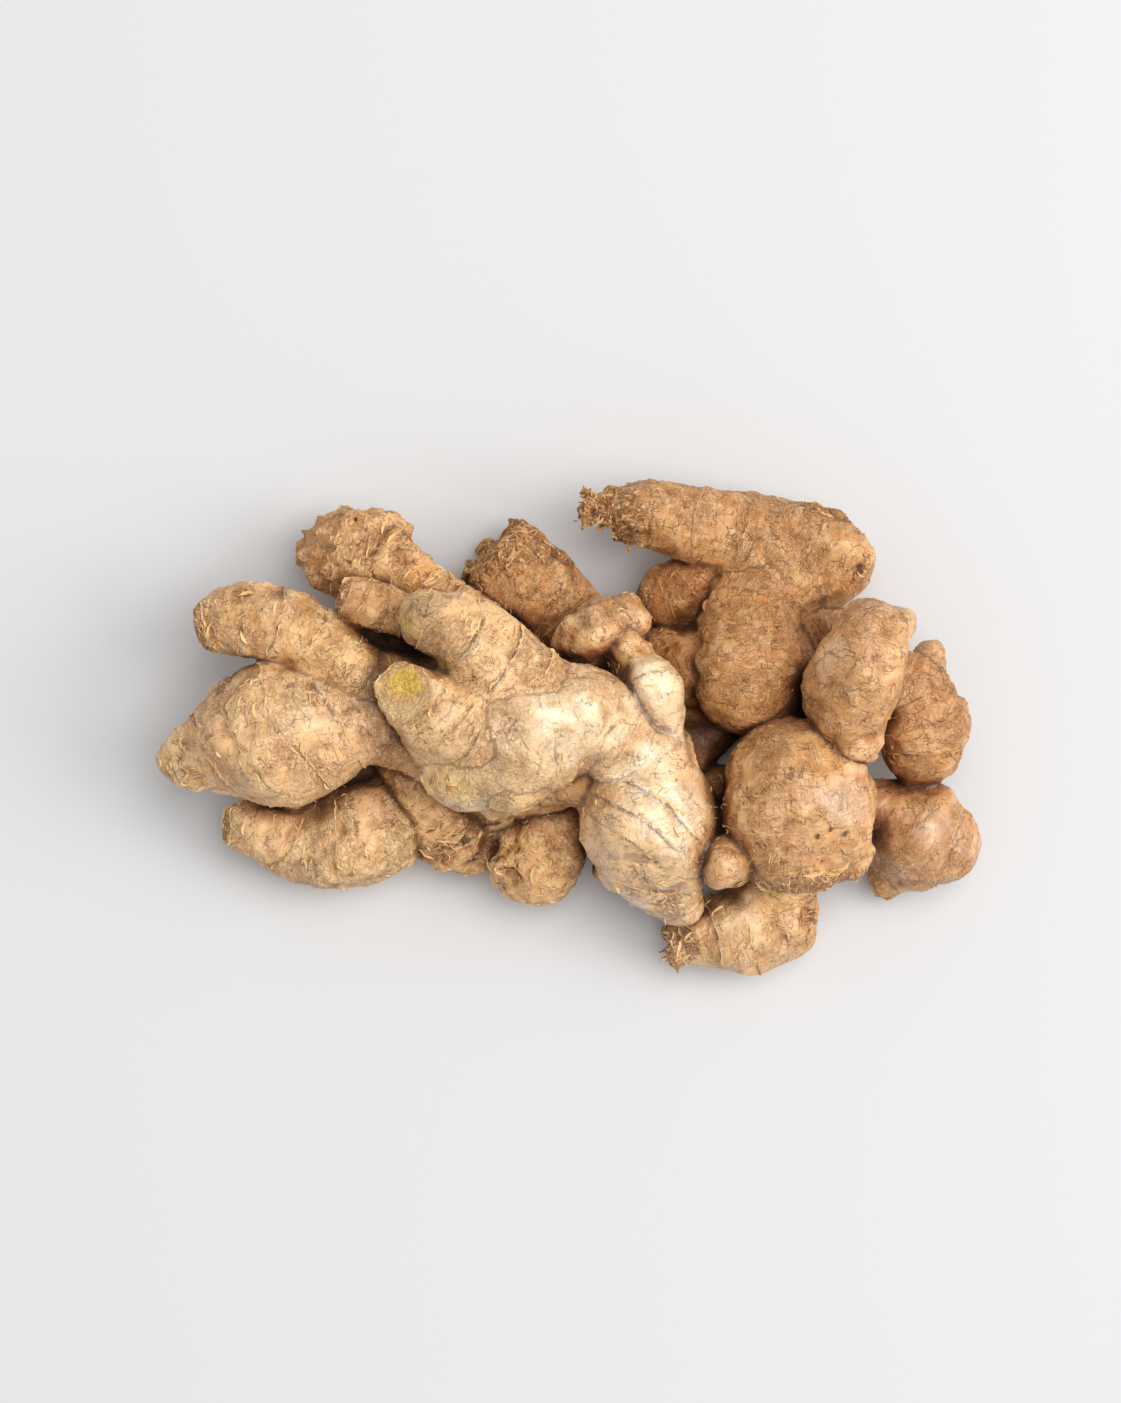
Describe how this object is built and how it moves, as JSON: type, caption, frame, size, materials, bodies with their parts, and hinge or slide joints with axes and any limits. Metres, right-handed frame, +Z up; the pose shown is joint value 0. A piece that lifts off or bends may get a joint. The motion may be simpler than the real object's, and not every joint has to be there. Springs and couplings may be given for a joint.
{
  "type": "ginger root",
  "caption": "Branching hand of fresh ginger with knobbly ringed fingers, a cut finger end, a torn tip and root stubs, lying flat.",
  "frame": {"origin": "middle of the bounding box's underside, on the surface that the root lies on", "axes": "+X along the hand of ginger, +Y across it and away from the viewer, +Z up as it lies"},
  "size_m": [0.199, 0.1201, 0.0547],
  "materials": {
    "skin": "thin dry papery skin, matte with a soft sheen"
  },
  "bodies": {
    "root": {"rhizome": "skin"}
  },
  "joints": []
}
